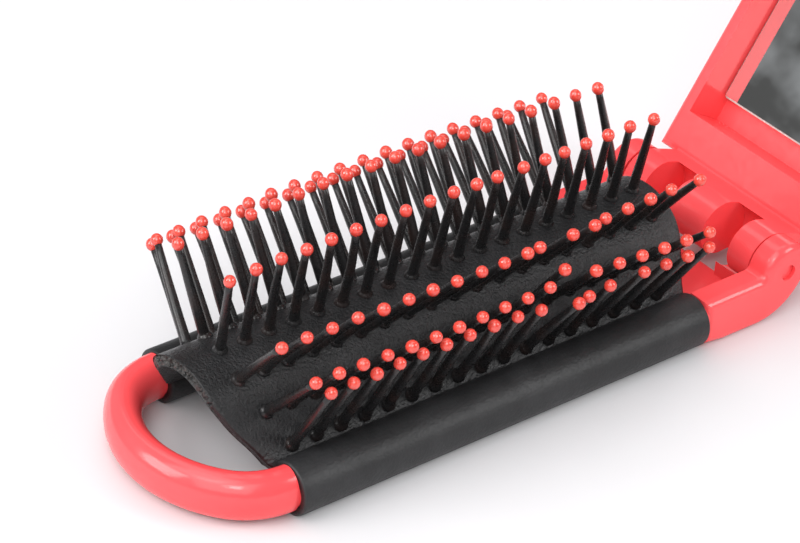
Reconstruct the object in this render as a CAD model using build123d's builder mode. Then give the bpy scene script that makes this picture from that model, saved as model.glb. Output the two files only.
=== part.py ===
from build123d import *
import math
import os

# A folding pocket comb. A moulded frame with a hanging loop carries an arched pad of ball-tipped
# pins on its two legs, and a lid with a mirror turns on trunnions in the frame's ears.
# X runs from the hanging loop to the hinge, Y across the comb and Z up. The origin is the middle
# of the cross bar's underside, on the surface that the comb lies on.

# Layout
leg_spacing = 27.74
sleeve_length = 66.3
bar_length = 8.6
bar_to_sleeve = 3.7
hinge_beyond_bar = 2.2
hinge_height = 7.0
lid_angle = 57.3
overrun = 3.0

# Pad: two sleeves and an arched web
sleeve_radius = 3.62
crown_height = 16.16
web_thickness = 1.5
web_arc = 58.0
shoulder_angle = 45.0
near_overhang = 6.3
near_edge_half_width = 6.2
far_overhang = 2.8
far_edge_half_width = 7.6
web_corner_radius = 3.5

# Frame
leg_radius = 2.5
bore_clearance = 0.08
shoulder_clearance = 0.1
loop_reach = 11.06
loop_corner_radius = 9.4
loop_half_width = 2.46
loop_half_height = 3.24
loop_axis_height = 3.79
bar_height = 2.2
bar_edge_radius = 0.8
ear_radius = 4.0
ear_inner = 12.9
ear_outer = 16.45
ear_edge_radius = 1.2
foot_curve_radius = 9.0
foot_rise = 0.5
ear_corner_radius = 1.0
leg_end_to_hinge = 6.5
foot_top_rise = 0.1
cradle_inner = 6.2
cradle_front = 3.3
cradle_clearance = 0.35

# Hinge
trunnion_radius = 1.1
trunnion_clearance = 0.05
trunnion_recess = 0.5

# Lid, with u measured from the hinge along the lid and w square to it
barrel_radius = 3.9
barrel_side_gap = 0.3
knuckle_half_width = 3.5
notch_outer = 8.6
notch_clearance = 0.2
rim_drop = 4.05
lid_depth = 7.05
lid_side_inset = 0.25
lid_start = 4.4
lid_straight_end = 80.4
lid_nose_length = 13.6
lid_corner_radius = 12.0
rim_edge_radius = 1.2
back_edge_radius = 2.2
step_foot = 4.9
heel_back = 6.0
heel_bulge = 0.6
heel_rest_gap = 0.3
heel_wall = 1.2
heel_low_angle = 224.0
pocket_start = 10.3
pocket_end = 78.4
pocket_half_width = 13.95
pocket_depth = 5.85
pocket_draft = 4.3

# Mirror
mirror_start = 14.1
mirror_end_gap = 0.9
mirror_side_gap = 0.55
mirror_thickness = 1.2
mirror_bevel = 0.25
adhesive_thickness = 0.3
adhesive_inset = 1.5

# Pins, in seven rows from the near side to the far side
row_overrun = 0.66
row_to_shoulder = 1.26
pin_length = 14.0
pin_seat_gap = 0.1
pin_root_radius = 0.57
pin_tip_radius = 0.43
pin_sides = 5
ball_radius = 0.9
row_names = ("a", "b", "c", "d", "e", "f", "g")
row_counts = (17, 18, 19, 19, 19, 18, 17)
row_tilts = (-32.1, -43.9, -41.4, -15.5, 13.3, 44.6, 45.6)
row_start_shares = (0.75, 0.16, -0.35, -0.19, 0.13, 0.11, 0.78)
row_lean_shares = (-0.044, -0.08, -0.079, -0.106, -0.168, 0.091, 0.028)
row_length_shares = (1.0, 1.0, 1.0, 1.0, 1.0, 1.02, 1.075)
ball_low_share = 0.9
ball_high_share = 1.02
ball_side_share = 0.95
ball_low_chamfer_shares = (0.36, 0.46)
ball_high_chamfer_shares = (0.41, 0.5)

# Places that follow from the sizes
leg_y = leg_spacing / 2
sleeve_far = -bar_length / 2 - bar_to_sleeve
sleeve_near = sleeve_far - sleeve_length
hinge_x = bar_length / 2 + hinge_beyond_bar
bar_half = bar_length / 2
leg_top = loop_axis_height + loop_half_height + foot_top_rise
barrel_half_width = ear_inner - barrel_side_gap
lid_half_width = ear_outer - lid_side_inset

shoulder_y = leg_y - sleeve_radius * math.cos(math.radians(shoulder_angle))
shoulder_z = sleeve_radius + sleeve_radius * math.sin(math.radians(shoulder_angle))
arc_sin = math.sin(math.radians(web_arc))
arc_cos = math.cos(math.radians(web_arc))
web_radius = (shoulder_y * arc_sin + (shoulder_z - crown_height) * arc_cos) / (1 - arc_cos)
web_centre_z = crown_height - web_radius
web_half_length = web_radius * math.radians(web_arc) + (shoulder_y - web_radius * arc_sin) / arc_cos

middle_row = (len(row_names) - 1) / 2
row_spacing = (web_half_length - row_to_shoulder) / middle_row
pin_pitch = (sleeve_length + row_overrun) / (max(row_counts) - 1)

mirror_length = pocket_end - mirror_start - mirror_end_gap
mirror_half_width = pocket_half_width - mirror_side_gap

lid_cos = math.cos(math.radians(lid_angle))
lid_sin = math.sin(math.radians(lid_angle))
lid_plane = Plane(
    origin=(hinge_x, 0, hinge_height), x_dir=(lid_cos, 0, lid_sin), z_dir=(-lid_sin, 0, lid_cos)
)
# The lid's side view: local x is u, local y is w, and it is extruded along Y
lid_side = Plane(
    origin=(hinge_x, 0, hinge_height), x_dir=(lid_cos, 0, lid_sin), z_dir=(0, -1, 0)
)
lid_axis = Axis((hinge_x, 0, hinge_height), (-lid_sin, 0, lid_cos))


def web_point(arc_length, drop=0.0):
    """Give y, z and the tilt in degrees of the web's top at an arc length from the crown."""
    side = -1 if arc_length < 0 else 1
    length = abs(arc_length)
    radius = web_radius - drop
    turn = min(length / web_radius, math.radians(web_arc))
    flank = length - web_radius * turn
    y = radius * math.sin(turn) + flank * math.cos(turn)
    z = web_centre_z + radius * math.cos(turn) - flank * math.sin(turn)
    return side * y, z, side * math.degrees(turn)


def oval_end(start, reach, half_width, corner_radius):
    """Draw half an oval of three arcs, from its left side round its end to its right side."""
    crown_radius = (reach ** 2 + half_width ** 2 - 2 * half_width * corner_radius) / (
        2 * (reach - corner_radius)
    )
    turn = math.degrees(math.asin((crown_radius - reach) / (crown_radius - corner_radius)))
    side = half_width - corner_radius
    CenterArc((start, side), corner_radius, 90, -turn)
    CenterArc((start + reach - crown_radius, 0), crown_radius, 90 - turn, 2 * turn - 180)
    CenterArc((start, -side), corner_radius, turn - 90, -turn)


def save(part, name):
    """Label a finished piece and write it."""
    part.label = name
    export_step(part, "parts/" + name + ".step")


def web_section(drop):
    """Draw the region under the arch, dropped by a distance square to its top."""
    flank = (web_centre_z + web_radius * arc_cos - sleeve_radius) / arc_sin
    end_y, end_z, _ = web_point(web_radius * math.radians(web_arc) + flank, drop)
    arc_y, arc_z, _ = web_point(web_radius * math.radians(web_arc), drop)
    with BuildLine() as outline:
        ThreePointArc((-arc_y, arc_z), (0, crown_height - drop), (arc_y, arc_z))
        Polyline((arc_y, arc_z), (end_y, end_z), (-end_y, end_z), (-arc_y, arc_z))
    return make_face(outline.edges(), mode=Mode.PRIVATE)


def make_pad():
    """Arched web and its two sleeves, one moulding."""
    web_length = near_overhang + sleeve_length + far_overhang
    with BuildPart() as brush_pad:
        with BuildSketch(Plane.YZ.offset(sleeve_near - near_overhang)):
            add(web_section(0))
            add(web_section(web_thickness), mode=Mode.SUBTRACT)
        extrude(amount=web_length)
        near_edge = sleeve_near - near_overhang
        far_edge = sleeve_far + far_overhang
        with BuildSketch(Plane.XY):
            with BuildLine():
                FilletPolyline(
                    (sleeve_near, leg_y),
                    (sleeve_near, shoulder_y),
                    (near_edge, near_edge_half_width),
                    (near_edge, -near_edge_half_width),
                    (sleeve_near, -shoulder_y),
                    (sleeve_near, -leg_y),
                    radius=(0, web_corner_radius, web_corner_radius, 0),
                )
                FilletPolyline(
                    (sleeve_near, -leg_y),
                    (sleeve_far, -leg_y),
                    (sleeve_far, -shoulder_y),
                    (far_edge, -far_edge_half_width),
                    (far_edge, far_edge_half_width),
                    (sleeve_far, shoulder_y),
                    (sleeve_far, leg_y),
                    (sleeve_near, leg_y),
                    radius=(0, 0, web_corner_radius, web_corner_radius, 0, 0),
                )
            make_face()
        extrude(amount=crown_height + overrun, mode=Mode.INTERSECT)
        with BuildSketch(Plane.YZ.offset(sleeve_near)):
            with Locations((leg_y, sleeve_radius), (-leg_y, sleeve_radius)):
                Circle(sleeve_radius)
        extrude(amount=sleeve_length)
        with BuildSketch(Plane.YZ.offset(sleeve_near)):
            with Locations((leg_y, sleeve_radius), (-leg_y, sleeve_radius)):
                Circle(leg_radius + bore_clearance)
        extrude(amount=sleeve_length, mode=Mode.SUBTRACT)
    save(brush_pad.part, "brush_pad")


def foot_profile():
    """Draw the side of a foot and its ear, from the sleeve's end round the hinge."""
    start = sleeve_far + shoulder_clearance
    reach = math.sqrt((foot_curve_radius - ear_radius) ** 2 - (foot_curve_radius - hinge_height) ** 2)
    curve_x = hinge_x - reach
    ratio = ear_radius / (foot_curve_radius - ear_radius)
    meet = (hinge_x + reach * ratio, hinge_height + (hinge_height - foot_curve_radius) * ratio)
    half_turn = math.atan2(meet[0] - curve_x, foot_curve_radius - meet[1]) / 2
    middle = (
        curve_x + foot_curve_radius * math.sin(half_turn),
        foot_curve_radius - foot_curve_radius * math.cos(half_turn),
    )
    corner = (hinge_x - math.sqrt(ear_radius ** 2 - (leg_top - hinge_height) ** 2), leg_top)
    with BuildSketch() as side:
        with BuildLine():
            Polyline(corner, (start, leg_top), (start, foot_rise), (-bar_half, 0), (curve_x, 0))
            ThreePointArc((curve_x, 0), middle, meet)
            ThreePointArc(meet, (hinge_x, hinge_height + ear_radius), corner)
        make_face()
        fillet(side.vertices().sort_by_distance(corner)[0], ear_corner_radius)
    return side.sketch


def make_foot():
    """One foot with its ear, on the near side, with rounded outer edges."""
    with BuildPart() as foot:
        with BuildSketch(Plane.XZ.offset(ear_inner)):
            add(foot_profile())
        extrude(amount=ear_outer - ear_inner)
        fillet(foot.faces().sort_by(Axis.Y)[0].edges(), ear_edge_radius)
    return foot.part


def make_bar():
    """Low cross bar between the feet, flat underneath, with rounded upper edges."""
    with BuildPart() as bar:
        with BuildSketch(Plane.XY):
            Rectangle(bar_length, 2 * ear_inner)
        extrude(amount=bar_height)
        fillet(bar.faces().sort_by(Axis.Z)[-1].edges().filter_by(Axis.Y), bar_edge_radius)
    return bar.part


def make_frame():
    """Hanging loop, two legs, cross bar, ears and the cradles under the barrel."""
    foot = make_foot()
    bar = make_bar()
    with BuildPart() as brush_frame:
        with BuildLine(Plane((0, 0, loop_axis_height), x_dir=(-1, 0, 0))) as loop_path:
            oval_end(shoulder_clearance - sleeve_near, loop_reach, leg_y, loop_corner_radius)
        with BuildSketch(Plane.YZ.offset(sleeve_near - shoulder_clearance)):
            with Locations((-leg_y, loop_axis_height)):
                Ellipse(loop_half_width, loop_half_height)
        sweep(path=loop_path.wire())
        with BuildSketch(Plane.YZ.offset(sleeve_near - shoulder_clearance)):
            with Locations((leg_y, sleeve_radius), (-leg_y, sleeve_radius)):
                Circle(leg_radius)
        extrude(amount=sleeve_length + shoulder_clearance + overrun)
        with BuildSketch(Plane.YZ.offset(sleeve_far + shoulder_clearance)):
            with Locations((leg_y, loop_axis_height), (-leg_y, loop_axis_height)):
                SlotOverall(2 * loop_half_height, 2 * loop_half_width, rotation=90)
        extrude(amount=hinge_x - leg_end_to_hinge - sleeve_far - shoulder_clearance)
        add(foot)
        add(mirror(foot, about=Plane.XZ, mode=Mode.PRIVATE))
        add(bar)
        for inner in (cradle_inner, -ear_inner):
            with BuildSketch(Plane.XZ.offset(inner)):
                add(foot_profile())
                with Locations((hinge_x - cradle_front, hinge_height)):
                    Rectangle(leg_spacing, leg_spacing, align=(Align.MAX, Align.CENTER), mode=Mode.SUBTRACT)
                with Locations((hinge_x, hinge_height)):
                    Circle(barrel_radius + cradle_clearance, mode=Mode.SUBTRACT)
                with Locations((hinge_x, hinge_height - barrel_radius - heel_rest_gap)):
                    Rectangle(leg_spacing, leg_spacing, align=(Align.MIN, Align.MIN), mode=Mode.SUBTRACT)
            extrude(amount=ear_inner - cradle_inner)
        with BuildSketch(Plane.XZ.offset(-leg_spacing)):
            with Locations((hinge_x, hinge_height)):
                Circle(trunnion_radius + trunnion_clearance)
        extrude(amount=2 * leg_spacing, mode=Mode.SUBTRACT)
    save(brush_frame.part, "brush_frame")


def heel_profile():
    """Draw the side of the block that joins the barrel to the lid's plate, in u and w."""
    point_angle = math.atan2(-rim_drop, step_foot)
    point_reach = math.hypot(step_foot, rim_drop)
    touch = point_angle + math.acos(barrel_radius / point_reach)
    high = (barrel_radius * math.cos(touch), barrel_radius * math.sin(touch))
    low_turn = math.radians(heel_low_angle)
    low = (barrel_radius * math.cos(low_turn), barrel_radius * math.sin(low_turn))
    back = (heel_back, -rim_drop - lid_depth)
    chord = math.hypot(back[0] - low[0], back[1] - low[1])
    bulge = (
        (low[0] + back[0]) / 2 + heel_bulge * (back[1] - low[1]) / chord,
        (low[1] + back[1]) / 2 - heel_bulge * (back[0] - low[0]) / chord,
    )
    inside = (pocket_start - heel_wall, -rim_drop - heel_wall)
    with BuildLine() as outline:
        Polyline(high, (step_foot, -rim_drop), inside, (inside[0], back[1]), back)
        ThreePointArc(back, bulge, low)
        Polyline(low, (0, 0), high)
    return make_face(outline.edges(), mode=Mode.PRIVATE)


def make_lid():
    """Mirror lid with its pocket, heel, barrel and trunnions."""
    with BuildPart() as mirror_lid:
        with BuildSketch(lid_plane.offset(-rim_drop)):
            with Locations((lid_start, 0)):
                Rectangle(lid_straight_end - lid_start, 2 * lid_half_width, align=(Align.MIN, Align.CENTER))
            with BuildLine():
                oval_end(lid_straight_end, lid_nose_length, lid_half_width, lid_corner_radius)
                Line((lid_straight_end, lid_half_width), (lid_straight_end, -lid_half_width))
            make_face()
        extrude(amount=-lid_depth)
        levels = mirror_lid.edges().group_by(lid_axis)
        fillet(levels[-1], rim_edge_radius)
        levels = mirror_lid.edges().group_by(lid_axis)
        fillet(levels[0], back_edge_radius)
        with BuildSketch(lid_side.offset(-barrel_half_width)):
            Circle(barrel_radius)
            add(heel_profile())
        extrude(amount=2 * barrel_half_width)
        for inner in (knuckle_half_width, -notch_outer):
            with BuildSketch(lid_side.offset(inner)):
                Circle(barrel_radius + notch_clearance)
            extrude(amount=notch_outer - knuckle_half_width, mode=Mode.SUBTRACT)
        trunnion_end = ear_outer - trunnion_recess
        for inner in (barrel_half_width, -trunnion_end):
            with BuildSketch(lid_side.offset(inner)):
                Circle(trunnion_radius)
            extrude(amount=trunnion_end - barrel_half_width)
        with BuildSketch(lid_plane.offset(-rim_drop)):
            with Locations((pocket_start, 0)):
                Rectangle(pocket_end - pocket_start, 2 * pocket_half_width, align=(Align.MIN, Align.CENTER))
        extrude(amount=-pocket_depth, taper=pocket_draft, mode=Mode.SUBTRACT)
    save(mirror_lid.part, "mirror_lid")


def make_mirror():
    """Mirror plate and the adhesive sheet behind it."""
    floor = -rim_drop - pocket_depth
    with BuildPart() as mirror_glass:
        with BuildSketch(lid_plane.offset(floor + adhesive_thickness)):
            with Locations((mirror_start, 0)):
                Rectangle(mirror_length, 2 * mirror_half_width, align=(Align.MIN, Align.CENTER))
        extrude(amount=mirror_thickness)
        chamfer(mirror_glass.edges().group_by(lid_axis)[-1], mirror_bevel)
    save(mirror_glass.part, "mirror_glass")
    with BuildPart() as mirror_adhesive:
        with BuildSketch(lid_plane.offset(floor)):
            with Locations((mirror_start + mirror_length / 2, 0)):
                Rectangle(mirror_length - 2 * adhesive_inset, 2 * (mirror_half_width - adhesive_inset))
        extrude(amount=adhesive_thickness)
    save(mirror_adhesive.part, "mirror_adhesive")


def make_row(index):
    """One row of pins and the row of balls on their ends."""
    base_y, base_z, surface_tilt = web_point((index - middle_row) * row_spacing)
    tilt = math.radians(row_tilts[index])
    lean = row_lean_shares[index]
    rise = math.sqrt(1 - lean ** 2)
    along = Vector(lean, rise * math.sin(tilt), rise * math.cos(tilt))
    turn = math.radians(surface_tilt)
    square = Vector(0, math.sin(turn), math.cos(turn))
    base = Vector(0, base_y, base_z) + square * pin_seat_gap
    ball_start = row_length_shares[index] * pin_length - ball_low_share * ball_radius
    inset = (pin_root_radius - pin_tip_radius) * math.cos(math.pi / pin_sides)
    taper = math.degrees(math.atan2(inset, ball_start + pin_root_radius))

    def level(distance):
        return Plane(origin=base + along * distance, x_dir=(1, 0, 0), z_dir=along)

    with BuildPart() as pin:
        with BuildSketch(level(-pin_root_radius)):
            RegularPolygon(pin_root_radius, pin_sides)
        extrude(amount=ball_start + pin_root_radius, taper=taper)
        split(bisect_by=Plane(origin=base, z_dir=square), keep=Keep.TOP)
    with BuildPart() as ball:
        with BuildSketch(level(ball_start)):
            RegularPolygon(ball_side_share * ball_radius, pin_sides)
        extrude(amount=(ball_low_share + ball_high_share) * ball_radius)
        ends = ball.faces().sort_by(Axis(base, along))
        for end, shares in ((ends[0], ball_low_chamfer_shares), (ends[-1], ball_high_chamfer_shares)):
            chamfer(end.edges(), shares[0] * ball_radius, shares[1] * ball_radius, reference=end)
    starts = [
        (sleeve_near + (row_start_shares[index] + number) * pin_pitch, 0, 0)
        for number in range(row_counts[index])
    ]
    with BuildPart() as pin_row:
        with Locations(*starts):
            add(pin.part)
    save(pin_row.part, "pin_row_" + row_names[index])
    with BuildPart() as tip_row:
        with Locations(*starts):
            add(ball.part)
    save(tip_row.part, "tip_row_" + row_names[index])


os.makedirs("parts", exist_ok=True)
make_frame()
make_pad()
make_lid()
make_mirror()
for row in range(len(row_names)):
    make_row(row)
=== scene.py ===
import logging
from dataclasses import dataclass, field
from enum import Enum
from typing import Optional

import bpy
import numpy as np
from mathutils import Matrix, Vector


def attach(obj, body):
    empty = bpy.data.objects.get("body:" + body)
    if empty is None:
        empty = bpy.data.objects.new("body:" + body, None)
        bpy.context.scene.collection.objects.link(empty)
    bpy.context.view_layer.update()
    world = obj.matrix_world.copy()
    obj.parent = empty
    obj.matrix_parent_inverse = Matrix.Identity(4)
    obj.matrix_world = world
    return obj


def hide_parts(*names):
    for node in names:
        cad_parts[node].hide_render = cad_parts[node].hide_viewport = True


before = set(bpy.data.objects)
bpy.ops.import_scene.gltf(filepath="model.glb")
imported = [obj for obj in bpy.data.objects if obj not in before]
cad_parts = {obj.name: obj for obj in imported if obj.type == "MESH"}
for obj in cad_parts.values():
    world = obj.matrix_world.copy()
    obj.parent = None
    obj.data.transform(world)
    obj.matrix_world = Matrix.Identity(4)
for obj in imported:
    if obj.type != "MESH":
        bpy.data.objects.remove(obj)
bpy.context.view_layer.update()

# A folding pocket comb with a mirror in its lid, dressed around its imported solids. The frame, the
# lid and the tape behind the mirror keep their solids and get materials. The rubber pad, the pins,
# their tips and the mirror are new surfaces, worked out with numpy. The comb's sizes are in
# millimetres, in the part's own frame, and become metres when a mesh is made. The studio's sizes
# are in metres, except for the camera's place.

Socket = bpy.types.NodeSocket
Material = bpy.types.Material
Colour = tuple[float, float, float]
Point = tuple[float, float, float]
Span = tuple[float, float]

MM = 0.001
WHITE = (1.0, 1.0, 1.0)
WHOLE = (0.0, 1.0)
log = logging.getLogger("comb")


class Body(Enum):
    """The two bodies that the hinge joins."""

    BRUSH = "brush"
    LID = "lid"


class Slot(Enum):
    """Names of the record's material slots for the new pieces, which nothing in the script uses."""

    PAD = "black_pad"
    PINS = "black_pins"
    TIPS = "coral_tips"
    MIRROR = "mirror"


@dataclass
class Surface:
    """A mesh as arrays: points in millimetres, four-sided and three-sided faces."""

    points: np.ndarray
    quads: np.ndarray
    tris: np.ndarray

    def volume(self) -> float:
        """Add up the cones from each face to the origin.

        Returns:
            The volume, below zero where the faces point inwards.
        """
        fans = np.vstack([self.quads[:, [0, 1, 2]], self.quads[:, [0, 2, 3]], self.tris])
        a, b, c = (self.points[fans[:, k]] for k in range(3))
        return float(np.einsum("ij,ij->i", a, np.cross(b, c)).sum() / 6)

    def outward(self) -> "Surface":
        """Turn the faces round where the volume is below zero.

        Returns:
            The surface, with its faces outwards.
        """
        if self.volume() > 0:
            return self
        return Surface(self.points, self.quads[:, ::-1], self.tris[:, ::-1])


def fan(pole: int, ring: np.ndarray) -> np.ndarray:
    """Join a pole to each pair of neighbours on a ring.

    Args:
        pole: Number of the pole's point.
        ring: Numbers of the ring's points, in order.

    Returns:
        Three-sided faces, of shape (places, 3).
    """
    return np.stack([np.full(len(ring), pole), ring, np.roll(ring, -1)], axis=-1)


def lofted(points: np.ndarray, wrap_rows: bool = False) -> Surface:
    """Join rings of points into a closed surface.

    Face (i, j) joins ring i to ring i + 1 between places j and j + 1, and every ring closes on
    itself. Where the rings don't close in turn, a fan from the mean of the first ring and of the
    last ring closes each end.

    Args:
        points: Rings of shape (rings, places, 3).
        wrap_rows: Whether the last ring joins the first.

    Returns:
        The surface, with its faces outwards.
    """
    rings, places = points.shape[:2]
    ring = np.arange(rings if wrap_rows else rings - 1)[:, None]
    place = np.arange(places)
    here, after = ring * places, (ring + 1) % rings * places
    beside = (place + 1) % places
    quads = np.stack([here + place, here + beside, after + beside, after + place], axis=-1)
    quads = quads.reshape(-1, 4)
    flat = points.reshape(-1, 3)
    if wrap_rows:
        return Surface(flat, quads, np.zeros((0, 3), int)).outward()
    ends = np.stack([points[0].mean(0), points[-1].mean(0)])
    first = fan(len(flat), place)[:, [0, 2, 1]]
    last = fan(len(flat) + 1, (rings - 1) * places + place)
    return Surface(np.vstack([flat, ends]), quads, np.vstack([first, last])).outward()


def turned(
    centres: np.ndarray, axes: np.ndarray, radii: np.ndarray, sides: int, poles: np.ndarray
) -> Surface:
    """Draw many round stalks at once.

    A stalk's ring is its centre plus its radius times the circle's cosine and sine along two
    directions square to the axis there: the first is X less its share along the axis, and the
    second is the cross product of the axis and the first. A fan to a pole closes each end.

    Args:
        centres: Middles of the rings, of shape (stalks, rings, 3).
        axes: Directions square to the rings, of the same shape.
        radii: Radii, of shape (stalks, rings).
        sides: Number of places round a ring.
        poles: End points, of shape (stalks, 2, 3).

    Returns:
        One surface that holds all the stalks, with its faces outwards.
    """
    stalks, rings = centres.shape[:2]
    axes = axes / np.linalg.norm(axes, axis=-1, keepdims=True)
    across = np.array([1.0, 0.0, 0.0]) - axes[..., :1] * axes
    across /= np.linalg.norm(across, axis=-1, keepdims=True)
    beside = np.cross(axes, across)
    angle = np.linspace(0, 2 * np.pi, sides, endpoint=False)[:, None]
    circle = np.cos(angle) * across[:, :, None] + np.sin(angle) * beside[:, :, None]
    body = (centres[:, :, None] + radii[:, :, None, None] * circle).reshape(stalks, -1, 3)
    points = np.concatenate([body, poles], axis=1).reshape(-1, 3)
    ring, place = np.arange(rings - 1)[:, None] * sides, np.arange(sides)
    near, far = ring + place, ring + (place + 1) % sides
    quads = np.stack([near, far, far + sides, near + sides], axis=-1).reshape(-1, 4)
    end = rings * sides
    tris = np.vstack([fan(end, place)[:, [0, 2, 1]], fan(end + 1, end - sides + place)])
    shift = (np.arange(stalks) * (end + 2))[:, None, None]
    return Surface(points, (quads + shift).reshape(-1, 4), (tris + shift).reshape(-1, 3)).outward()


def add_piece(
    name: str,
    surface: Surface,
    body: Body,
    materials: list[Material],
    smooth: bool = True,
    marks: Optional[dict[str, np.ndarray]] = None,
) -> bpy.types.Object:
    """Make a piece's mesh and let it ride on a body.

    Args:
        name: The piece's name.
        surface: Its faces, in millimetres.
        body: The body that it moves with.
        materials: Its materials, the first of which is on every face.
        smooth: Whether it is shaded smooth.
        marks: Values kept at each point, by name, for the materials to read.

    Returns:
        The new object, at the origin.
    """
    mesh = bpy.data.meshes.new(name)
    mesh.vertices.add(len(surface.points))
    mesh.vertices.foreach_set("co", (surface.points * MM).astype(np.float32).ravel())
    corners = np.concatenate([surface.quads.ravel(), surface.tris.ravel()]).astype(np.int32)
    sizes = np.repeat([4, 3], [len(surface.quads), len(surface.tris)])
    mesh.loops.add(len(corners))
    mesh.loops.foreach_set("vertex_index", corners)
    mesh.polygons.add(len(sizes))
    mesh.polygons.foreach_set("loop_start", (np.cumsum(sizes) - sizes).astype(np.int32))
    mesh.polygons.foreach_set("use_smooth", np.full(len(sizes), smooth))
    for mark, values in (marks or {}).items():
        kept = mesh.attributes.new(mark, "FLOAT", "POINT")
        kept.data.foreach_set("value", values.astype(np.float32))
    for material in materials:
        mesh.materials.append(material)
    mesh.update(calc_edges=True)
    mesh.validate()
    piece = bpy.data.objects.new(name, mesh)
    bpy.context.scene.collection.objects.link(piece)
    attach(piece, body.value)
    log.info("%s: %d points, %d faces, on %s", name, len(surface.points), len(sizes), body.value)
    return piece


def dress(node: str, material: Material) -> None:
    """Give a CAD node's object its material.

    Args:
        node: The node's name.
        material: What goes into each of its slots.
    """
    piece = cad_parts[node]
    if not piece.material_slots:
        piece.data.materials.append(material)
    for place in piece.material_slots:
        place.material = material
    log.info("%s: dressed in %s", node, material.name)


@dataclass(frozen=True)
class Noise:
    """A noise's lumps in a metre, its octaves, and the share that each finer octave keeps."""

    per_metre: float
    detail: float = 2.0
    roughness: float = 0.5


@dataclass(frozen=True)
class Relief:
    """How a height raises the surface: the bump's strength, and its depth in millimetres."""

    strength: float
    depth: float


class Graph:
    """A material's nodes, with short ways to add the few kinds that the finishes use."""

    def __init__(self, name: str) -> None:
        """Start a material with an empty node tree and its shader.

        Args:
            name: The material's name.
        """
        self.material = bpy.data.materials.new(name)
        self.material.use_nodes = True
        self.nodes = self.material.node_tree.nodes
        self.links = self.material.node_tree.links
        self.nodes.clear()
        self.shader = self.nodes.new("ShaderNodeBsdfPrincipled")
        output = self.nodes.new("ShaderNodeOutputMaterial")
        self.links.new(self.shader.outputs[0], output.inputs["Surface"])
        self.place = self.nodes.new("ShaderNodeTexCoord").outputs["Object"]

    def noise(self, kind: Noise) -> Socket:
        """Add a noise in the object's own coordinates.

        Args:
            kind: Its scale and octaves.

        Returns:
            The noise's value.
        """
        node = self.nodes.new("ShaderNodeTexNoise")
        node.inputs["Scale"].default_value = kind.per_metre
        node.inputs["Detail"].default_value = kind.detail
        node.inputs["Roughness"].default_value = kind.roughness
        self.links.new(self.place, node.inputs["Vector"])
        return node.outputs[0]

    def span(self, value: Socket, band: Span, ends: Span = WHOLE) -> Socket:
        """Carry a value from one range to another, held at the ends.

        Args:
            value: What to carry.
            band: The range that it comes from.
            ends: The range that it goes to.

        Returns:
            The value in its new range.
        """
        node = self.nodes.new("ShaderNodeMapRange")
        node.inputs["From Min"].default_value, node.inputs["From Max"].default_value = band
        node.inputs["To Min"].default_value, node.inputs["To Max"].default_value = ends
        self.links.new(value, node.inputs["Value"])
        return node.outputs[0]

    def mixed(self, share: Socket, first: Colour | Socket, second: Colour | Socket) -> Socket:
        """Mix two colours.

        Args:
            share: How much of the second there is.
            first: The colour where the share is nothing.
            second: The colour where it is whole.

        Returns:
            The mixed colour.
        """
        node = self.nodes.new("ShaderNodeMix")
        node.data_type = "RGBA"
        self.links.new(share, node.inputs[0])
        for socket, colour in ((node.inputs[6], first), (node.inputs[7], second)):
            if isinstance(colour, tuple):
                socket.default_value = (*colour, 1.0)
            else:
                self.links.new(colour, socket)
        return node.outputs[2]

    def mark(self, name: str) -> Socket:
        """Read a value kept at the mesh's points.

        Args:
            name: The value's name.

        Returns:
            The value.
        """
        node = self.nodes.new("ShaderNodeAttribute")
        node.attribute_name = name
        return node.outputs["Fac"]

    def painted(self, colour: Socket) -> None:
        """Give the surface its colour."""
        self.links.new(colour, self.shader.inputs["Base Color"])

    def bumped(self, heights: list[tuple[Socket, Relief]]) -> None:
        """Raise the surface by heights one over another.

        Args:
            heights: Each height, and how it raises the surface.
        """
        below = None
        for height, relief in heights:
            node = self.nodes.new("ShaderNodeBump")
            node.inputs["Strength"].default_value = relief.strength
            node.inputs["Distance"].default_value = relief.depth * MM
            self.links.new(height, node.inputs["Height"])
            if below is not None:
                self.links.new(below, node.inputs["Normal"])
            below = node.outputs[0]
        self.links.new(below, self.shader.inputs["Normal"])

    def sheen(self, roughness: float | Socket, ior: float = 1.5, metallic: float = 0.0) -> None:
        """Set how the surface shines.

        Args:
            roughness: Its roughness, plain or worked out.
            ior: Its index of refraction.
            metallic: How much of a metal it is.
        """
        if isinstance(roughness, float):
            self.shader.inputs["Roughness"].default_value = roughness
        else:
            self.links.new(roughness, self.shader.inputs["Roughness"])
        self.shader.inputs["IOR"].default_value = ior
        self.shader.inputs["Metallic"].default_value = metallic


@dataclass(frozen=True)
class MouldedPlastic:
    """Glossy moulded plastic, with faint flow marks, a slight orange peel and fine rubbing."""

    name: str = "coral_plastic"
    colour: Colour = (0.93, 0.084, 0.092)
    deeper: Colour = (0.90, 0.068, 0.076)
    gloss: Span = (0.12, 0.22)
    flow: Noise = Noise(60.0, 3.0)
    flow_band: Span = (0.35, 0.7)
    rubbing: Noise = Noise(900.0, 4.0, 0.6)
    rubbing_band: Span = (0.3, 0.75)
    rubbing_relief: Relief = Relief(0.03, 0.02)
    peel: Noise = Noise(420.0, 1.0)
    peel_relief: Relief = Relief(0.12, 0.05)

    def material(self) -> Material:
        """Mix the colours by the flow marks, and roughen and raise the skin by the rubbing.

        Returns:
            The material.
        """
        graph = Graph(self.name)
        flow = graph.span(graph.noise(self.flow), self.flow_band)
        graph.painted(graph.mixed(flow, self.colour, self.deeper))
        rubbing = graph.noise(self.rubbing)
        graph.sheen(graph.span(rubbing, self.rubbing_band, self.gloss))
        peel = graph.noise(self.peel)
        graph.bumped([(peel, self.peel_relief), (rubbing, self.rubbing_relief)])
        return graph.material


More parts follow.
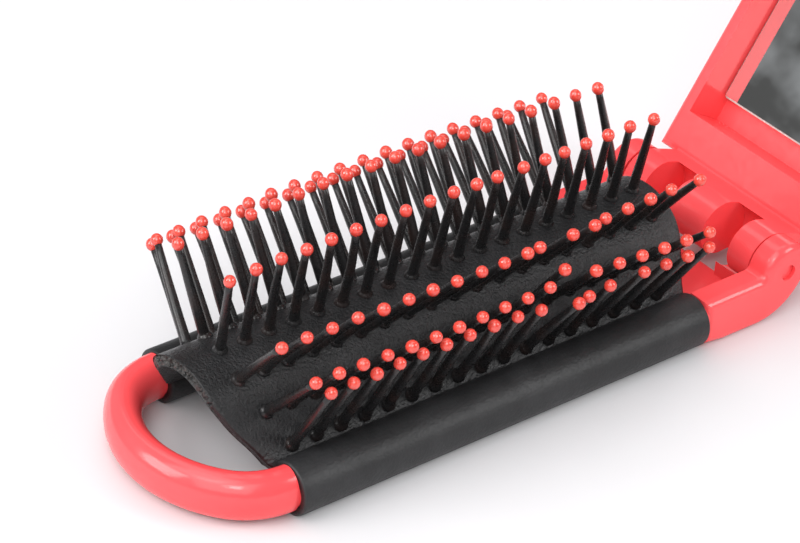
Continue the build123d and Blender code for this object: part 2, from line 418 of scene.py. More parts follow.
@dataclass(frozen=True)
class GrainedRubber:
    """Matt black rubber with a fine leathery grain, paler where rubbed, crumbly where torn, where
    near-black specks are painted shade in the pits and paler brownish specks are the crumbs' tone
    with painted glints.
    """

    name: str = "grained_rubber"
    colour: Colour = (0.0090, 0.0090, 0.0098)
    rubbed: Colour = (0.021, 0.021, 0.0225)
    # The torn colour is painted shade: near black, for the shaded pits of the torn edge.
    torn: Colour = (0.004, 0.004, 0.004)
    # The crumb colour is the crumbs' brownish tone with painted glints on it.
    crumb_and_glint: Colour = (0.050, 0.043, 0.040)
    gloss: Span = (0.28, 0.46)
    wear: Noise = Noise(120.0, 4.0, 0.6)
    wear_band: Span = (0.42, 0.72)
    # This noise splits the torn edge into painted pit shade and crumbs with painted glints.
    crumbs: Noise = Noise(3000.0)
    crumbs_band: Span = (0.44, 0.56)
    grain: Noise = Noise(2500.0, 3.0, 0.55)
    grain_band: Span = (0.3, 0.7)
    grain_relief: Relief = Relief(1.0, 0.22)
    wrinkle: Noise = Noise(350.0)
    wrinkle_relief: Relief = Relief(0.06, 0.08)

    def material(self) -> Material:
        """Mix skin and the torn edge's specks of painted pit shade and painted glints by the mark
        "torn", and raise the surface by grain and wrinkles.

        Returns:
            The material.
        """
        graph = Graph(self.name)
        wear = graph.span(graph.noise(self.wear), self.wear_band)
        skin = graph.mixed(wear, self.colour, self.rubbed)
        crumbs = graph.span(graph.noise(self.crumbs), self.crumbs_band)
        # The torn edge's colour: painted pit shade and crumbs with painted glints, mixed by the
        # noise.
        ragged_shade_and_glint = graph.mixed(crumbs, self.torn, self.crumb_and_glint)
        graph.painted(graph.mixed(graph.mark("torn"), skin, ragged_shade_and_glint))
        grain = graph.noise(self.grain)
        graph.sheen(graph.span(grain, self.grain_band, self.gloss))
        wrinkle = graph.noise(self.wrinkle)
        graph.bumped([(grain, self.grain_relief), (wrinkle, self.wrinkle_relief)])
        return graph.material


@dataclass(frozen=True)
class BlackNylon:
    """Half-gloss black nylon of the pins, with a brownish red painted reflection of the coral tips
    in streaks.
    """

    name: str = "black_nylon"
    colour: Colour = (0.0105, 0.0100, 0.0105)
    # A painted reflection of the coral tips, brownish red, mixed in by the streaks.
    painted_tip_reflection: Colour = (0.022, 0.0125, 0.0110)
    gloss: Span = (0.22, 0.36)
    reflection_streaks: Noise = Noise(260.0, 3.0)
    reflection_streaks_band: Span = (0.45, 0.75)
    grain: Noise = Noise(1500.0, 3.0)
    grain_band: Span = (0.3, 0.7)
    grain_relief: Relief = Relief(0.15, 0.03)

    def material(self) -> Material:
        """Mix in the painted reflection of the tips by the streaks, and roughen and raise the
        surface by the grain.

        Returns:
            The material.
        """
        graph = Graph(self.name)
        reflection_streaks = graph.span(graph.noise(self.reflection_streaks), self.reflection_streaks_band)
        graph.painted(graph.mixed(reflection_streaks, self.colour, self.painted_tip_reflection))
        grain = graph.noise(self.grain)
        graph.sheen(graph.span(grain, self.grain_band, self.gloss))
        graph.bumped([(grain, self.grain_relief)])
        return graph.material


@dataclass(frozen=True)
class TipLacquer:
    """Coral lacquer that the pins' tips were dipped in, uneven in its depth of colour."""

    name: str = "tip_lacquer"
    colour: Colour = (0.76, 0.066, 0.044)
    deeper: Colour = (0.62, 0.046, 0.032)
    gloss: Span = (0.08, 0.15)
    ior: float = 1.8
    depth: Noise = Noise(700.0)
    depth_band: Span = (0.35, 0.7)
    haze: Noise = Noise(2200.0)
    haze_band: Span = (0.3, 0.7)
    ripple: Noise = Noise(1400.0)
    ripple_relief: Relief = Relief(0.15, 0.04)

    def material(self) -> Material:
        """Mix the colours by their depth, roughen by the haze and raise by the ripple.

        Returns:
            The material.
        """
        graph = Graph(self.name)
        depth = graph.span(graph.noise(self.depth), self.depth_band)
        graph.painted(graph.mixed(depth, self.colour, self.deeper))
        graph.sheen(graph.span(graph.noise(self.haze), self.haze_band, self.gloss), ior=self.ior)
        graph.bumped([(graph.noise(self.ripple), self.ripple_relief)])
        return graph.material


@dataclass(frozen=True)
class Silvering:
    """A silvered mirror with faint smears of finger grease."""

    name: str = "mirror_silver"
    colour: Colour = (0.90, 0.91, 0.90)
    smeared: Colour = (0.84, 0.85, 0.845)
    gloss: Span = (0.015, 0.05)
    smears: Noise = Noise(70.0, 5.0, 0.65)
    smears_band: Span = (0.45, 0.75)

    def material(self) -> Material:
        """Mix the colours and roughen the metal by the smears.

        Returns:
            The material.
        """
        graph = Graph(self.name)
        smears = graph.span(graph.noise(self.smears), self.smears_band)
        graph.painted(graph.mixed(smears, self.colour, self.smeared))
        graph.sheen(graph.span(smears, WHOLE, self.gloss), metallic=1.0)
        return graph.material


@dataclass(frozen=True)
class GlassEdge:
    """The pale green ground edge of the mirror's glass."""

    name: str = "mirror_edge"
    colour: Colour = (0.50, 0.66, 0.62)
    chipped: Colour = (0.74, 0.82, 0.80)
    gloss: Span = (0.12, 0.45)
    ior: float = 1.52
    chips: Noise = Noise(1600.0, 3.0, 0.6)
    chips_band: Span = (0.5, 0.7)

    def material(self) -> Material:
        """Mix the colours and roughen the glass by the chips.

        Returns:
            The material.
        """
        graph = Graph(self.name)
        chips = graph.span(graph.noise(self.chips), self.chips_band)
        graph.painted(graph.mixed(chips, self.colour, self.chipped))
        graph.sheen(graph.span(chips, WHOLE, self.gloss), ior=self.ior)
        return graph.material


@dataclass(frozen=True)
class FoamTape:
    """The grey adhesive tape behind the mirror."""

    name: str = "foam_tape"
    colour: Colour = (0.42, 0.42, 0.40)
    shaded: Colour = (0.30, 0.30, 0.29)
    roughness: float = 0.85
    cells: Noise = Noise(2600.0)
    cells_relief: Relief = Relief(0.4, 0.08)

    def material(self) -> Material:
        """Mix the colours and raise the surface by the foam's cells.

        Returns:
            The material.
        """
        graph = Graph(self.name)
        cells = graph.noise(self.cells)
        graph.painted(graph.mixed(cells, self.colour, self.shaded))
        graph.sheen(self.roughness)
        graph.bumped([(cells, self.cells_relief)])
        return graph.material


@dataclass
class Shells:
    """The moulded frame and lid: their solids stay, with their own rounded edges."""

    nodes: tuple[str, ...] = ("brush_frame", "mirror_lid")

    def build(self) -> None:
        """Give both the same plastic."""
        plastic = MouldedPlastic().material()
        for node in self.nodes:
            dress(node, plastic)


@dataclass
class Arch:
    """The line of the pad's arched web, across the comb: a round crown and two straight flanks."""

    crown_height: float = 16.16
    arc_deg: float = 58.0
    shoulder_y: float = 11.3103
    shoulder_z: float = 6.1797
    radius: float = field(init=False)
    centre_z: float = field(init=False)
    half_length: float = field(init=False)

    def __post_init__(self) -> None:
        """Work out the crown's radius and centre, so that the flanks end at the shoulders."""
        turn = np.radians(self.arc_deg)
        fall = self.shoulder_z - self.crown_height
        gap = self.shoulder_y * np.sin(turn) + fall * np.cos(turn)
        self.radius = gap / (1 - np.cos(turn))
        self.centre_z = self.crown_height - self.radius
        flank = (self.shoulder_y - self.radius * np.sin(turn)) / np.cos(turn)
        self.half_length = self.radius * turn + flank

    def at(self, length: np.ndarray) -> tuple[np.ndarray, np.ndarray, np.ndarray]:
        """Find the arch's top at lengths measured along it from the crown.

        The turn is the length over the radius, held at the crown's half angle, and what is left of
        the length goes straight on. Y is the radius times the turn's sine plus the rest times its
        cosine, and Z is the centre plus the radius times the cosine less the rest times the sine.

        Args:
            length: Lengths, below zero on the near side.

        Returns:
            Y, Z and the turn in radians.
        """
        side = np.where(length < 0, -1.0, 1.0)
        turn = np.minimum(np.abs(length) / self.radius, np.radians(self.arc_deg))
        rest = np.abs(length) - self.radius * turn
        y = self.radius * np.sin(turn) + rest * np.cos(turn)
        z = self.centre_z + self.radius * np.cos(turn) - rest * np.sin(turn)
        return side * y, z, side * turn


@dataclass(frozen=True)
class Overhang:
    """How far an edge of the web reaches past the sleeves' ends, and where that falls off."""

    reach: float
    half_width: float
    softness: float


@dataclass(frozen=True)
class Tears:
    """The small holes torn into the web's near edge, and the ripple along it."""

    count: int = 130
    depth: float = 0.85
    middle: float = 1.0
    spread: float = 4.2
    first: float = -9.0
    last: float = 14.5
    margin: float = 0.25
    sizes: Span = (0.09, 0.24)
    strengths: Span = (0.35, 1.0)
    fade: float = 5.0
    faintest: float = 0.1
    slow_ripple: Span = (0.05, 2.3)
    quick_ripple: Span = (0.03, 5.9)
    near_ripple: float = 0.4
    ripple_from_y: float = -4.0
    crumbs_from: float = -7.5
    crumbs_over: float = 4.0
    seed: int = 11

    def at(self, across: np.ndarray, down: np.ndarray, y: np.ndarray, low: float) -> np.ndarray:
        """Say how far each place lies behind the edge's line.

        A hole's depth falls from its middle as e to the minus squared distance over its squared
        size, and the deepest of all holes holds at each place. The holes crowd on the far side of
        the crown. The ripple is two sines along the arch, lower on the near flank.

        Args:
            across: Lengths along the arch.
            down: Depths below the web's top.
            y: Places across the comb.
            low: The web's thickness.

        Returns:
            The depth of the tear at each place.
        """
        rng = np.random.default_rng(self.seed)
        middle = np.clip(rng.normal(self.middle, self.spread, self.count), self.first, self.last)
        level = rng.uniform(self.margin, low - self.margin, self.count)
        size = rng.uniform(*self.sizes, self.count)
        weight = np.clip((middle - self.first) / self.fade, self.faintest, 1.0)
        strength = rng.uniform(*self.strengths, self.count) * weight
        gap = (across[..., None] - middle) ** 2 + (down[..., None] - level) ** 2
        holes = (strength * np.exp(-gap / size**2)).max(-1) * self.depth
        (slow, slow_rate), (quick, quick_rate) = self.slow_ripple, self.quick_ripple
        ripple = slow * np.sin(across * slow_rate) + quick * np.sin(across * quick_rate + 1.0)
        share = self.near_ripple + (1 - self.near_ripple) * (y > self.ripple_from_y)
        return holes + ripple * share

    def crumbs(self, across: np.ndarray) -> np.ndarray:
        """Say how crumbly the torn edge is at lengths along the arch."""
        return np.clip((across - self.crumbs_from) / self.crumbs_over, self.faintest, 1.0)


@dataclass
class ArchedPad:
    """The rubber pad: an arched web with a torn near edge, and a sleeve round each leg."""

    arch: Arch = field(default_factory=Arch)
    near_x: float = -74.3
    far_x: float = -8.0
    near_edge: Overhang = Overhang(6.3, 9.55, 1.27)
    far_edge: Overhang = Overhang(2.8, 9.2, 1.1)
    shoulder_run: float = 0.9
    thickness: float = 1.5
    edge_slant: float = 0.2
    inside_sleeve: float = 0.9
    tears: Tears = Tears()
    leg_y: float = 13.87
    sleeve_radius: float = 3.62
    bore_radius: float = 2.58
    bore_depth: float = 2.0
    lip_radius: float = 0.32
    seam_deg: float = -33.0
    seam_width_deg: float = 2.4
    seam_depth: float = 0.07
    across_count: int = 420
    along_count: int = 84
    corner_count: int = 4
    face_count: int = 7
    round_count: int = 180
    lip_count: int = 6
    sleeve_count: int = 30
    sleeve_gloss: Span = (0.44, 0.54)
    sleeve_grain: Relief = Relief(1.0, 0.07)
    sleeve_wrinkle: Relief = Relief(0.03, 0.08)

    def reach(self, y: np.ndarray, edge: Overhang) -> np.ndarray:
        """Say how far the web reaches past the sleeves' ends.

        The reach is the overhang times one over one plus e to the (distance from the middle less
        half the width) over softness, and comes to nothing over the last run to the shoulder.

        Args:
            y: Places across the comb.
            edge: The overhang at this end.

        Returns:
            The reach at each place, never below zero.
        """
        away = np.abs(y)
        step = 1 / (1 + np.exp((away - edge.half_width) / edge.softness))
        run = (self.arch.shoulder_y + self.shoulder_run - away) / self.shoulder_run
        return edge.reach * step * np.clip(run, 0, 1)

    def section(self) -> np.ndarray:
        """Walk once round the web's thickness, from the near edge over the top and back below.

        The eight stretches are the near top corner, the top, the far top corner, the far face, the
        far bottom corner, the underside, the near bottom corner and the near face. A corner slants
        back from the face to a fine lip. Along the top and the underside the share is half of one
        less the run's cosine, so that the places crowd at the edges.

        Returns:
            Four values for each place: its share of the way from the near edge's line to the far
            one's, its inset along X, its depth below the arch's top, and how torn it is.
        """
        bend = np.linspace(0, np.pi / 2, self.corner_count)
        slant, drop = self.edge_slant * (1 - np.sin(bend)), self.edge_slant * (1 - np.cos(bend))
        low, edge = self.thickness, self.edge_slant
        face = np.linspace(edge, low - edge, self.face_count + 2)[1:-1]
        steps = 0.5 - 0.5 * np.cos(np.pi * np.linspace(0, 1, self.along_count)[1:-1])
        inset = np.interp(steps, [0, 1], [edge, -edge])
        rise = np.linspace(0.0, 1.0, self.corner_count)
        stretches = (
            (0.0, slant, drop[::-1], rise[::-1]),
            (steps, inset, 0.0, 0.0),
            (1.0, -slant[::-1], drop, 0.0),
            (1.0, 0.0, face, 0.0),
            (1.0, -slant, low - drop[::-1], 0.0),
            (steps[::-1], inset[::-1], low, 0.0),
            (0.0, slant[::-1], low - drop, rise),
            (0.0, 0.0, face[::-1], 1.0),
        )
        return np.hstack([np.stack(np.broadcast_arrays(*stretch)) for stretch in stretches])

    def web(self) -> tuple[Surface, np.ndarray]:
        """Draw the web.

        There is one ring for each length across the arch. A place is the arch's top less its depth
        square to the arch, its X runs between the two edges' lines, and the tears set it back.

        Returns:
            The surface, and for each point how crumbly it is.
        """
        end = self.arch.half_length + self.inside_sleeve
        across = np.linspace(-end, end, self.across_count)[:, None]
        y, z, turn = self.arch.at(across)
        near = self.near_x - self.reach(y, self.near_edge)
        far = self.far_x + self.reach(y, self.far_edge)
        share, inset, down, torn = self.section()
        x = near * (1 - share) + far * share + inset
        x = x + torn * self.tears.at(across, down, y, self.thickness)
        points = np.stack([x, y - down * np.sin(turn), z - down * np.cos(turn)], axis=-1)
        crumbs = torn * self.tears.crumbs(across)
        return lofted(points), np.append(crumbs, [0.0, 0.0])

    def sleeve(self, side: float) -> Surface:
        """Draw a sleeve with rounded lips.

        Rings of one radius each run from the bore at the near end over the lip, along the outside
        and back through the bore. A shallow groove runs along the outside where the mould met, its
        depth falling as e to the minus squared angle from it.

        Args:
            side: -1 for the near leg and 1 for the far one.

        Returns:
            The surface.
        """
        outer, lip, near, far = self.sleeve_radius, self.lip_radius, self.near_x, self.far_x
        bend = np.linspace(0, np.pi / 2, self.lip_count)
        lip_x, lip_r = lip * (1 - np.sin(bend)), lip * (1 - np.cos(bend))
        body = np.linspace(near + lip, far - lip, self.sleeve_count)[1:-1]
        bore = [self.bore_radius] * 2
        first, last = [near + self.bore_depth, near], [far, far - self.bore_depth]
        x = np.concatenate([first, near + lip_x[::-1], body, far - lip_x, last])
        r = np.concatenate([bore, outer - lip_r[::-1], [outer] * len(body), outer - lip_r, bore])
        angle = np.linspace(0, 2 * np.pi, self.round_count, endpoint=False)
        from_seam = (angle - np.radians(self.seam_deg) + np.pi) % (2 * np.pi) - np.pi
        width = np.radians(self.seam_width_deg)
        groove = self.seam_depth * np.exp(-((from_seam / width) ** 2))
        outside = (r > outer - lip * 0.5).astype(float)
        radius = r[:, None] - outside[:, None] * groove
        across = side * (self.leg_y + radius * np.cos(angle))
        height = self.sleeve_radius + radius * np.sin(angle)
        points = np.stack([np.broadcast_to(x[:, None], radius.shape), across, height], axis=-1)
        return lofted(points, wrap_rows=True)

    def build(self) -> None:
        """Make the web and the two sleeves, in place of the pad's solid."""
        rubber = GrainedRubber().material()
        surface, torn = self.web()
        web = add_piece("pad_web", surface, Body.BRUSH, [rubber], marks={"torn": torn})
        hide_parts("brush_pad")
        plain = GrainedRubber(
            "plain_rubber",
            gloss=self.sleeve_gloss,
            grain_relief=self.sleeve_grain,
            wrinkle_relief=self.sleeve_wrinkle,
        ).material()
        for name, side in (("pad_sleeve_near", -1.0), ("pad_sleeve_far", 1.0)):
            sleeve = add_piece(name, self.sleeve(side), Body.BRUSH, [plain])
            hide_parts("brush_pad")


@dataclass(frozen=True)
class Row:
    """A row of pins: its first pin's place, and how each pin stands.

    The start is a share of the pitch. Tilts are in tenths of a degree from straight up, towards the
    far side. Leans are in thousandths of the pin's length, towards the hinge.
    """

    letter: str
    start: float
    length: float
    tilts: tuple[int, ...]
    leans: tuple[int, ...]


ROWS = (
    Row(
        "a", 0.75, 14.0,
        (-307, -302, -303, -298, -297, -298, -298, -301, -304)
        + (-318, -360, -346, -335, -337, -342, -346, -345),
        (-25, -42, -59, -68, -78, -85, -87, -83, -83, -92, 32, -95, -100, 38, 30, 26, 24),
    ),
    Row(
        "b", 0.16, 14.0,
        (-433, -431, -435, -438, -443, -444, -442, -439, -435)
        + (-436, -428, -371, -437, -445, -453, -460, -465, -472),
        (-33, -48, -60, -63, -69, -71, -75, -78, -84)
        + (-90, -91, -126, -94, -90, -90, -94, -95, -84),
    ),
    Row(
        "c", -0.35, 14.0,
        (-415, -412, -415, -414, -421, -421, -421, -425, -426, -427)
        + (-425, -419, -421, -418, -404, -399, -396, -390, -398),
        (-71, -69, -68, -59, -52, -43, -44, -44, -33, -42)
        + (-40, -151, -40, -44, -161, -156, -146, -151, -81),
    ),
    Row(
        "d", -0.19, 14.0,
        (-172, -162, -156, -158, -153, -152, -153, -151, -149, -149)
        + (-153, -154, -157, -158, -157, -154, -153, -151, -161),
        (-154, -131, -122, -119, -112, -107, -98, -87, -78, -73)
        + (-81, -108, -74, -85, -120, -123, -120, -117, -103),
    ),
    Row(
        "e", 0.13, 14.0,
        (97, 108, 113, 120, 127, 149, 162, 164, 159, 157)
        + (151, 146, 140, 136, 129, 125, 119, 119, 107),
        (-209, -204, -202, -198, -192, -169, -146, -141, -140, -135)
        + (-142, -158, -154, -158, -166, -170, -163, -165, -172),
    ),
    Row(
        "f", 0.11, 14.28,
        (500, 507, 486, 472, 464, 435, 424, 387, 388)
        + (387, 387, 407, 422, 449, 473, 471, 481, 483),
        (183, 167, 137, 119, 110, 72, 59, 14, 11)
        + (14, 15, 35, 55, 88, 126, 130, 146, 158),
    ),
    Row(
        "g", 0.78, 15.05,
        (425, 396, 429, 433, 432, 447, 452, 454, 462)
        + (468, 483, 485, 479, 479, 479, 479, 479),
        (60, -7, 16, 16, 5, 23, 23, 18, 22, 23, 36, 46, 44, 37, 37, 37, 37),
    ),
)


@dataclass(frozen=True)
class Stand:
    """How a row's pins stand.

    Roots and directions have the shape (pins, 3). The square direction is the web's own upward one,
    and the length runs from a root to its ball's middle.
    """

    roots: np.ndarray
    way: np.ndarray
    square: np.ndarray
    length: float


@dataclass
class PinField:
    """Seven rows of flexible pins, each with a collar at its root and a ball at its end."""

    arch: Arch = field(default_factory=Arch)
    near_x: float = -74.3
    pitch: float = 3.72
    row_spacing: float = 4.9
    collar_stations: tuple[float, ...] = (-0.35, 0.04, 0.30, 0.52, 0.72)
    collar_radii: tuple[float, ...] = (1.02, 1.02, 0.97, 0.82, 0.71)
    shaft_stations: tuple[float, ...] = (1.15, 4.5, 8.5, 12.0)
    shaft_radii: tuple[float, ...] = (0.70, 0.66, 0.58, 0.50)
    neck_radius: float = 0.45
    bow: float = 0.12
    most_bow: float = 2.0
    ball_radius: float = 0.83
    ball_sizes: Span = (0.95, 1.03)
    ball_stretch: float = 1.07
    ball_stretches: Span = (0.97, 1.04)
    ball_ends: Span = (-0.96, 1.0)
    ball_angles: tuple[float, ...] = (-66.0, -44.0, -20.0, 4.0, 28.0, 50.0, 71.0)
    pin_sides: int = 10
    ball_sides: int = 12
    seed: int = 5

    def stand(self, row: Row, index: int) -> Stand:
        """Find where a row's pins stand and which way they point.

        A pin's root is at the arch's top, at its pitch along X. Its direction has its lean along X,
        and the rest is turned by its tilt between Y and Z.

        Args:
            row: The row.
            index: Its place, from the near side.

        Returns:
            How the row's pins stand.
        """
        from_crown = (index - (len(ROWS) - 1) / 2) * self.row_spacing
        y, z, turn = self.arch.at(np.array([from_crown]))
        x = self.near_x + (row.start + np.arange(len(row.tilts))) * self.pitch
        roots = np.stack([x, np.full(len(x), y[0]), np.full(len(x), z[0])], axis=-1)
        tilt = np.radians(np.array(row.tilts) / 10)
        lean = np.array(row.leans) / 1000
        rise = np.sqrt(1 - lean**2)
        way = np.stack([lean, rise * np.sin(tilt), rise * np.cos(tilt)], axis=-1)
        square = np.array([0.0, np.sin(turn[0]), np.cos(turn[0])])
        return Stand(roots, way, square, row.length)

    def pins(self, stand: Stand, rng: np.random.Generator) -> Surface:
        """Draw a row's pins.

        The collar's rings lie square to the web and turn to the pin's own direction by its top.
        Above it the middle line is straight but for a bow, four times the share of the length
        times the share that is left.

        Args:
            stand: How the pins stand.
            rng: Source of the bows.

        Returns:
            The surface.
        """
        stations = np.array(self.collar_stations + self.shaft_stations + (stand.length,))
        radii = np.array(self.collar_radii + self.shaft_radii + (self.neck_radius,))
        follow = np.clip(stations / self.shaft_stations[0], 0, 1)[None, :, None]
        way = (1 - follow) * stand.square + follow * stand.way[:, None]
        share = np.clip(stations / stand.length, 0, 1)
        most = self.most_bow * self.bow
        bend = rng.normal(0, self.bow, (len(stand.roots), 1, 2)).clip(-most, most)
        bend = np.concatenate([bend, 0 * bend[..., :1]], axis=-1)
        bowed = bend * (4 * share * (1 - share))[None, :, None]
        centres = stand.roots[:, None] + stations[None, :, None] * way + bowed
        poles = np.stack([centres[:, 0], centres[:, -1]], axis=1)
        radii = np.broadcast_to(radii, centres.shape[:2])
        return turned(centres, way, radii, self.pin_sides, poles)

    def balls(self, stand: Stand, rng: np.random.Generator) -> Surface:
        """Draw a row's balls, as rings whose radius is the cosine and place the sine of an angle.

        Args:
            stand: How the pins stand.
            rng: Source of the small differences in size.

        Returns:
            The surface.
        """
        angle = np.radians(np.array(self.ball_angles))
        count = len(stand.roots)
        size = self.ball_radius * rng.uniform(*self.ball_sizes, count)[:, None]
        stretch = self.ball_stretch * rng.uniform(*self.ball_stretches, count)[:, None]
        middle = (stand.roots + stand.length * stand.way)[:, None]
        way = stand.way[:, None]
        centres = middle + (size * stretch * np.sin(angle))[..., None] * way
        poles = middle + (size * stretch * np.array(self.ball_ends))[..., None] * way
        axes = np.broadcast_to(way, centres.shape)
        return turned(centres, axes, size * np.cos(angle), self.ball_sides, poles)

    def build(self) -> None:
        """Make each row's pins and balls, in place of its solids."""
        nylon, lacquer = BlackNylon().material(), TipLacquer().material()
        rng = np.random.default_rng(self.seed)
        for index, row in enumerate(ROWS):
            stand = self.stand(row, index)
            shafts, ends = self.pins(stand, rng), self.balls(stand, rng)
            pins = add_piece("pins_" + row.letter, shafts, Body.BRUSH, [nylon])
            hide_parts("pin_row_" + row.letter)
            balls = add_piece("balls_" + row.letter, ends, Body.BRUSH, [lacquer])
            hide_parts("tip_row_" + row.letter)


@dataclass
class MirrorPlate:
    """The mirror's glass in the lid's pocket, with a ground bevel round its face."""

    hinge: Point = (6.5, 0.0, 7.0)
    lid_deg: float = 57.3
    start: float = 14.1
    length: float = 63.4
    half_width: float = 13.4
    back: float = -9.6
    thickness: float = 1.2
    bevel: float = 0.25
    corner_radius: float = 0.5
    corner_count: int = 5

    def outline(self, inset: float) -> np.ndarray:
        """Draw the plate's outline with round corners, set in by a distance.

        Each corner is its centre plus the radius times the cosine and sine of a quarter turn.

        Args:
            inset: How far inside the plate's edge.

        Returns:
            Points along and across the lid, of shape (places, 2).
        """
        radius = self.corner_radius - inset
        middle = self.start + self.length / 2
        u, v = self.length / 2 - self.corner_radius, self.half_width - self.corner_radius
        quarter = np.linspace(0, np.pi / 2, self.corner_count)
        corners = []
        for number, (side_u, side_v) in enumerate(((1, 1), (-1, 1), (-1, -1), (1, -1))):
            angle = quarter + number * np.pi / 2
            along = middle + side_u * u + radius * np.cos(angle)
            corners.append(np.stack([along, side_v * v + radius * np.sin(angle)], axis=-1))
        return np.concatenate(corners)

    def placed(self, flat: np.ndarray, height: float) -> np.ndarray:
        """Carry points on the lid into the part's frame.

        The lid's own length runs up from the hinge at the lid's angle, and its height is square to
        it, so X is the length times the cosine less the height times the sine, and Z is the length
        times the sine plus the height times the cosine.

        Args:
            flat: Points along and across the lid.
            height: Their height, square to the lid.

        Returns:
            Points of shape (places, 3).
        """
        turn = np.radians(self.lid_deg)
        x = self.hinge[0] + flat[:, 0] * np.cos(turn) - height * np.sin(turn)
        z = self.hinge[2] + flat[:, 0] * np.sin(turn) + height * np.cos(turn)
        return np.stack([x, flat[:, 1], z], axis=-1)

    def build(self) -> None:
        """Make the plate, silvered on its face, in place of its solid, and dress the tape."""
        top = self.back + self.thickness
        levels = ((0.0, self.back), (0.0, top - self.bevel), (self.bevel, top))
        surface = lofted(np.stack([self.placed(self.outline(inset), z) for inset, z in levels]))
        silver, edge = Silvering().material(), GlassEdge().material()
        plate = add_piece(
            "mirror_plate", surface, Body.LID, [silver, edge], smooth=False
        )
        index = np.repeat([1, 0], [len(surface.quads), len(surface.tris)]).astype(np.int32)
        plate.data.polygons.foreach_set("material_index", index)
        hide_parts("mirror_glass")
        dress("mirror_adhesive", FoamTape().material())


@dataclass(frozen=True)
class Lamp:
    """A soft square lamp: its name, its place and side in metres, and its power in watts."""

    name: str
    place: Point
    side: float
    power: float


@dataclass(frozen=True)
class Card:
    """A cloudy grey card: its name, place, side, and the brightness and scale of its clouds."""

    name: str
    place: Point
    side: float
    grey: float
    per_metre: float


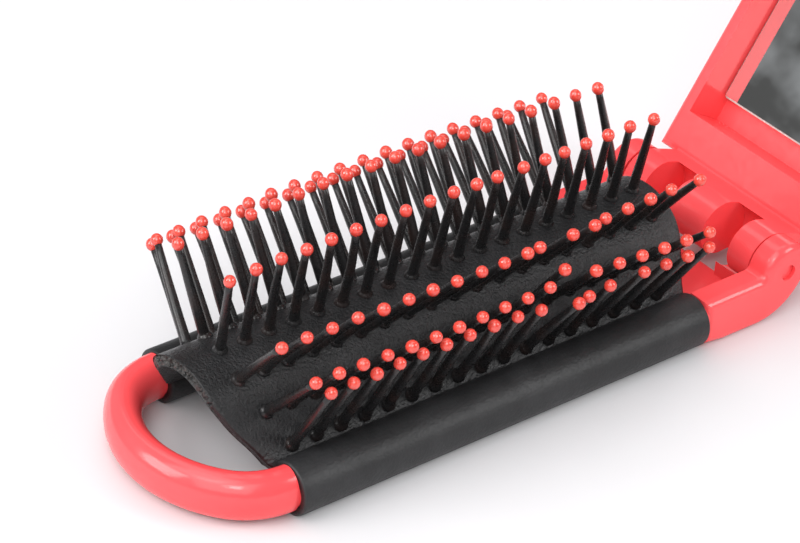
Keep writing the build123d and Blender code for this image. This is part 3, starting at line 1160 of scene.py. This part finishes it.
@dataclass
class Studio:
    """The pale floor, the soft lamps, the cards that reflections see, and the camera."""

    lamps: tuple[Lamp, ...] = (
        Lamp("overhead", (0.24, 0.46, 0.92), 0.8, 2.4),
        Lamp("top", (-0.42, 0.04, 0.88), 0.6, 2.2),
        Lamp("left", (-0.80, 0.29, 0.45), 0.52, 5.0),
        Lamp("key", (-0.58, -0.41, 0.60), 0.85, 4.1),
        Lamp("sparkle", (-0.50, -0.46, 0.62), 0.20, 1.1),
        Lamp("right", (0.50, -0.62, 0.50), 0.42, 3.3),
    )
    lamp_aim: Point = (-0.02, 0.0, 0.01)
    cards: tuple[Card, ...] = (
        Card("grey_wall", (-0.68, 0.63, 0.31), 0.55, 0.20, 42.0),
        Card("dark_flag", (0.50, 0.62, 0.50), 0.80, 0.03, 6.0),
    )
    card_aim: Point = (0.02, 0.0, 0.04)
    card_band: Span = (0.40, 0.62)
    card_detail: float = 3.0
    card_low: float = 0.45
    card_high: Colour = (1.35, 1.38, 1.42)
    floor_radius: float = 3.0
    floor_sides: int = 64
    floor_colour: Colour = (0.645, 0.64, 0.655)
    floor_darker: float = 0.99
    floor_tone: Noise = Noise(3.0)
    floor_band: Span = (0.3, 0.7)
    world_strength: float = 0.60
    reflected_strength: float = 0.24
    white: Colour = (0.965, 0.965, 0.97)
    camera_place: Point = (-285.05, -273.77, 259.93)
    camera_right: Point = (0.78154722, -0.62031851, 0.06624869)
    camera_down: Point = (-0.3031409, -0.47043771, -0.82873033)
    camera_forward: Point = (0.54524264, 0.62760919, -0.5557132)
    lens: float = 156.6
    sensor: float = 36.0
    clip: Span = (0.01, 20.0)

    def floor(self) -> None:
        """Lay the floor, a disc of pale paper just under the comb."""
        angle = np.linspace(0, 2 * np.pi, self.floor_sides, endpoint=False)
        ring = np.stack([np.cos(angle), np.sin(angle), 0 * angle], axis=-1) * self.floor_radius
        mesh = bpy.data.meshes.new("floor")
        mesh.from_pydata(ring.tolist(), [], [list(range(len(ring)))])
        graph = Graph("floor_paper")
        tone = graph.span(graph.noise(self.floor_tone), self.floor_band)
        darker = tuple(value * self.floor_darker for value in self.floor_colour)
        graph.painted(graph.mixed(tone, self.floor_colour, darker))
        graph.sheen(0.9, ior=1.3)
        mesh.materials.append(graph.material)
        floor = bpy.data.objects.new("floor", mesh)
        bpy.context.scene.collection.objects.link(floor)

    def world(self) -> None:
        """Light the scene from all round, more faintly in reflections, with plain white behind."""
        world = bpy.data.worlds.new("studio")
        world.use_nodes = True
        nodes, links = world.node_tree.nodes, world.node_tree.links
        nodes.clear()
        output = nodes.new("ShaderNodeOutputWorld")
        path = nodes.new("ShaderNodeLightPath")
        below = None
        for colour, strength, ray in (
            (WHITE, self.world_strength, None),
            (WHITE, self.reflected_strength, "Is Glossy Ray"),
            (self.white, 1.0, "Is Camera Ray"),
            (self.white, 1.0, "Is Transmission Ray"),
        ):
            light = nodes.new("ShaderNodeBackground")
            light.inputs["Color"].default_value = (*colour, 1.0)
            light.inputs["Strength"].default_value = strength
            if ray is None:
                below = light.outputs[0]
                continue
            mix = nodes.new("ShaderNodeMixShader")
            links.new(path.outputs[ray], mix.inputs[0])
            links.new(below, mix.inputs[1])
            links.new(light.outputs[0], mix.inputs[2])
            below = mix.outputs[0]
        links.new(below, output.inputs["Surface"])
        bpy.context.scene.world = world

    def hang(self, lamp: Lamp) -> None:
        """Hang a soft square lamp that faces the comb.

        Args:
            lamp: The lamp's place, side and power.
        """
        data = bpy.data.lights.new(lamp.name, "AREA")
        data.shape = "SQUARE"
        data.size = lamp.side
        data.energy = lamp.power
        light = bpy.data.objects.new(lamp.name, data)
        light.location = lamp.place
        aim = Vector(self.lamp_aim) - Vector(lamp.place)
        light.rotation_euler = aim.to_track_quat("-Z", "Y").to_euler()
        bpy.context.scene.collection.objects.link(light)

    def stand(self, card: Card) -> None:
        """Stand a card that only reflections see, square to the line from the comb.

        Args:
            card: The card's place, side and clouds.
        """
        centre = Vector(card.place)
        aim = (Vector(self.card_aim) - centre).to_track_quat("Z", "Y").to_matrix()
        half = card.side / 2
        square = ((-half, -half), (half, -half), (half, half), (-half, half))
        corners = [tuple(centre + aim @ Vector((x, y, 0.0))) for x, y in square]
        mesh = bpy.data.meshes.new(card.name)
        mesh.from_pydata(corners, [], [(0, 1, 2, 3)])
        graph = Graph(card.name)
        cloud = graph.span(graph.noise(Noise(card.per_metre, self.card_detail)), self.card_band)
        low = tuple([card.grey * self.card_low] * 3)
        high = tuple(card.grey * value for value in self.card_high)
        graph.shader.inputs["Base Color"].default_value = (0.0, 0.0, 0.0, 1.0)
        graph.links.new(graph.mixed(cloud, low, high), graph.shader.inputs["Emission Color"])
        graph.shader.inputs["Emission Strength"].default_value = 1.0
        graph.sheen(1.0, ior=1.0)
        mesh.materials.append(graph.material)
        board = bpy.data.objects.new(card.name, mesh)
        board.visible_camera = False
        board.visible_diffuse = False
        board.visible_shadow = False
        bpy.context.scene.collection.objects.link(board)

    def camera(self) -> None:
        """Stand the camera where the photograph was taken from."""
        data = bpy.data.cameras.new("camera")
        data.sensor_width = self.sensor
        data.lens = self.lens
        data.clip_start, data.clip_end = self.clip
        camera = bpy.data.objects.new("camera", data)
        ways = (self.camera_right, self.camera_down, self.camera_forward)
        right, down, forward = (Vector(way) for way in ways)
        turn = Matrix((right, -down, -forward)).transposed().to_4x4()
        camera.matrix_world = Matrix.Translation(Vector(self.camera_place) * MM) @ turn
        bpy.context.scene.collection.objects.link(camera)
        bpy.context.scene.camera = camera

    def build(self) -> None:
        """Set up the whole studio."""
        self.floor()
        self.world()
        for lamp in self.lamps:
            self.hang(lamp)
        for card in self.cards:
            self.stand(card)
        self.camera()
        bpy.context.scene.view_settings.view_transform = "Standard"
        log.info("studio: %d lamps and %d cards", len(self.lamps), len(self.cards))


def main() -> None:
    """Dress the comb and set up the studio."""
    logging.basicConfig(level=logging.INFO, format="%(name)s: %(message)s")
    for part in (Shells(), ArchedPad(), PinField(), MirrorPlate(), Studio()):
        part.build()


if __name__ == "__main__":
    main()
